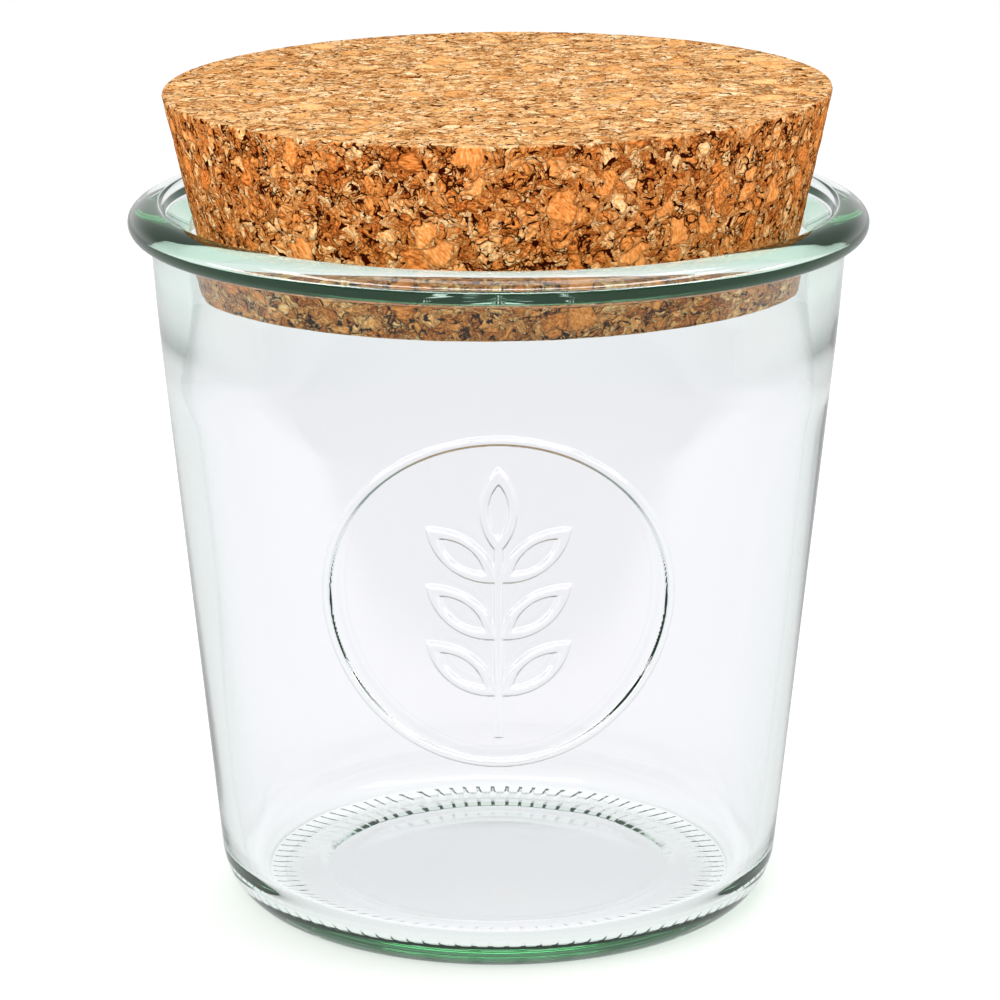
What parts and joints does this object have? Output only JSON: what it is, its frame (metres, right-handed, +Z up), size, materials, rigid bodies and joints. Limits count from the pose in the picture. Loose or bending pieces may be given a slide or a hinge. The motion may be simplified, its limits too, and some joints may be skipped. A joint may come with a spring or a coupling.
{
  "type": "glass jar with cork lid",
  "caption": "Tapered round glass preserving jar with a rolled rim and a raised medallion on its wall, closed by a tapered agglomerated cork plug that lifts out of the mouth.",
  "frame": {"origin": "centre of the bearing ring that the jar stands on, in the plane of the table", "axes": "+Z up through the mouth and the cork; the raised medallion faces -Y"},
  "size_m": [0.11, 0.11, 0.124],
  "materials": {
    "glass": "gloss",
    "cork": "matte"
  },
  "bodies": {
    "jar": {"glass_jar": "glass"},
    "lid": {"cork_lid": "cork"}
  },
  "joints": [
    {"name": "lid_lift", "type": "slide", "parent": "jar", "child": "lid", "axis": [0, 0, 1], "range_m": [0, 0.06]}
  ]
}
